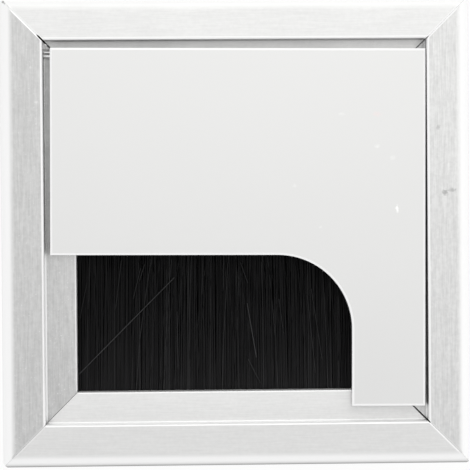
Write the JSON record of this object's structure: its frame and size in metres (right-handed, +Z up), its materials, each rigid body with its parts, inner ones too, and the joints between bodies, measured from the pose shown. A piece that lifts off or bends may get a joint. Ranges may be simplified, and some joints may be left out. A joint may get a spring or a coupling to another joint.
{
  "type": "brush cable grommet",
  "caption": "Square mitred aluminium desk grommet with a loose L-shaped cover plate and a black brush strip that closes the cable outlet.",
  "frame": {"origin": "centre of the desk cut-out, on the desk surface under the flange", "axes": "+Z up out of the desk, +Y to the back where the cover is closed, +X to the right seen from above"},
  "size_m": [0.08, 0.08, 0.018],
  "materials": {
    "frame_aluminium": "matt anodised, fine lengthwise brushing",
    "cover_aluminium": "smooth satin anodised",
    "bracket_steel": "zinc plated",
    "screw_steel": "black oxide",
    "channel_steel": "galvanised",
    "bristle_nylon": "black nylon filament"
  },
  "bodies": {
    "root": {"frame_rail_front": "frame_aluminium", "frame_rail_right": "frame_aluminium", "frame_rail_back": "frame_aluminium", "frame_rail_left": "frame_aluminium", "corner_bracket_front_left": "bracket_steel", "corner_bracket_front_right": "bracket_steel", "corner_bracket_back_right": "bracket_steel", "corner_bracket_back_left": "bracket_steel", "bracket_set_screws": "screw_steel", "cover_plate": "cover_aluminium", "brush_channel": "channel_steel", "brush_core_wire": "channel_steel", "brush_bristles": "bristle_nylon"}
  },
  "joints": []
}
